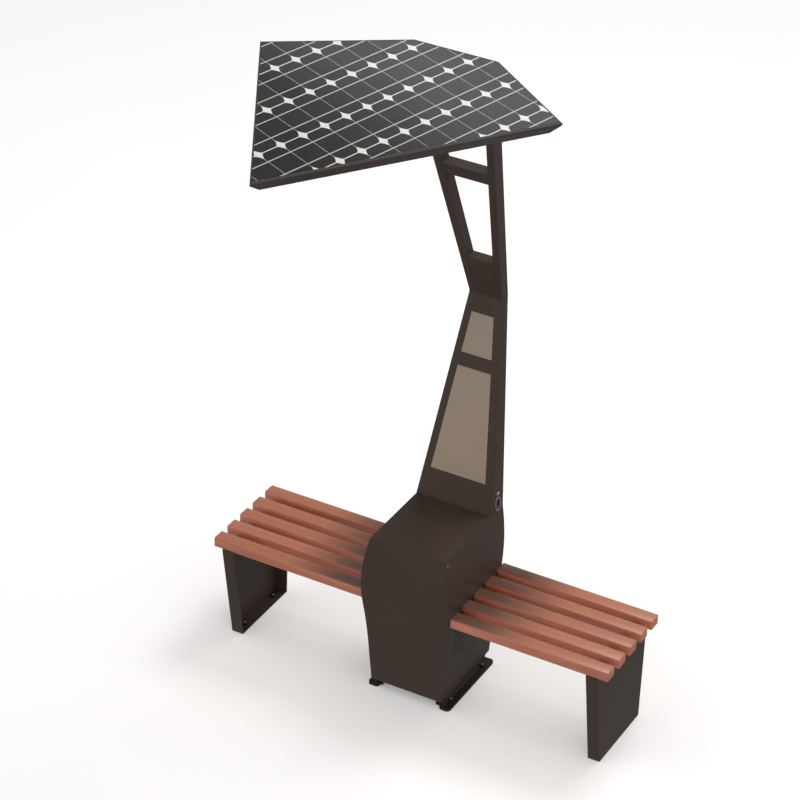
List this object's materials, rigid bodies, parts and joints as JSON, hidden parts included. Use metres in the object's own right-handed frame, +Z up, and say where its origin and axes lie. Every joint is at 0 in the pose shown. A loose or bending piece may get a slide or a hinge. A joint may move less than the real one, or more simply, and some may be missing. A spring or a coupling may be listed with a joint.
{
  "type": "solar charging bench",
  "caption": "Public bench with timber slat seats either side of a steel cabinet, whose leaning tower and mast carry a five-sided solar canopy; ports at the tower's foot",
  "frame": {"origin": "on the floor, in the middle of the cabinet's four anchor holes", "axes": "X along the seats, Y from the front to the back, Z up"},
  "size_m": [1.612, 1.6571, 2.6413],
  "materials": {
    "powder_coated_steel": "fine matt powder coat, dark brown grey",
    "canopy_frame": "fine matt powder coat on folded aluminium sheet",
    "timber": "reddish hardwood with satin oil",
    "solar_laminate": "black solar cells under smooth glass",
    "light_panel": "tan opal acrylic",
    "zinc_steel": "zinc plated",
    "inner_steel": "galvanised sheet",
    "circuit_board": "white solder mask",
    "black_plastic": "fine moulded grain",
    "red_plastic": "moulded, satin",
    "cable_rubber": "soft cable sheath",
    "finned_aluminium": "black anodised, finned",
    "clear_lens": "clear moulded lens"
  },
  "bodies": {
    "bench": {"battery": "black_plastic", "battery_cables": "cable_rubber", "battery_strap": "inner_steel", "battery_tray": "inner_steel", "cabinet_floor": "powder_coated_steel", "canopy_ribs": "canopy_frame", "canopy_tray": "canopy_frame", "charge_controller": "finned_aluminium", "diffuser_lower": "light_panel", "diffuser_upper": "light_panel", "end_leg_left": "powder_coated_steel", "end_leg_right": "powder_coated_steel", "equipment_plate": "inner_steel", "foot_runner_left": "powder_coated_steel", "foot_runner_right": "powder_coated_steel", "frame_bolts": "zinc_steel", "front_panel": "powder_coated_steel", "fuse_block": "black_plastic", "hinge_frame_leaves": "zinc_steel", "hinge_pins": "zinc_steel", "isolator_body": "black_plastic", "junction_box": "black_plastic", "led_boards": "circuit_board", "mast_cross_bar": "powder_coated_steel", "mast_gusset": "powder_coated_steel", "mast_head_plate": "powder_coated_steel", "mast_leg_left": "powder_coated_steel", "mast_leg_right": "powder_coated_steel", "plinth_frame": "powder_coated_steel", "port_bezels": "black_plastic", "port_lenses": "clear_lens", "pv_laminate": "solar_laminate", "rear_frame": "powder_coated_steel", "seat_bracket_left": "powder_coated_steel", "seat_bracket_right": "powder_coated_steel", "side_plate_left": "powder_coated_steel", "side_plate_right": "powder_coated_steel", "slat_bolts": "zinc_steel", "slat_left_1": "timber", "slat_left_2": "timber", "slat_left_3": "timber", "slat_left_4": "timber", "slat_left_5": "timber", "slat_right_1": "timber", "slat_right_2": "timber", "slat_right_3": "timber", "slat_right_4": "timber", "slat_right_5": "timber", "table_top": "powder_coated_steel", "tower_back": "powder_coated_steel", "tower_front": "powder_coated_steel", "usb_converter": "finned_aluminium", "usb_sockets": "black_plastic", "waist_plate": "powder_coated_steel"},
    "service_door": {"rear_door": "powder_coated_steel", "hinge_door_leaves": "zinc_steel", "lock_housing": "zinc_steel"},
    "lock_cam": {"lock_plug": "zinc_steel"},
    "switch_knob": {"isolator_knob": "red_plastic"}
  },
  "joints": [
    {"name": "door_hinge", "type": "hinge", "parent": "bench", "child": "service_door", "pos_m": [-0.11125, 0.184, 0.25], "axis": [0, 0, 1], "range_deg": [0, 110]},
    {"name": "lock_turn", "type": "hinge", "parent": "service_door", "child": "lock_cam", "pos_m": [0.088, 0.178, 0.25], "axis": [0, 1, 0], "range_deg": [0, 90]},
    {"name": "switch_turn", "type": "hinge", "parent": "bench", "child": "switch_knob", "pos_m": [-0.084, 0.057, 0.374], "axis": [0, 1, 0], "range_deg": [0, 90]}
  ]
}
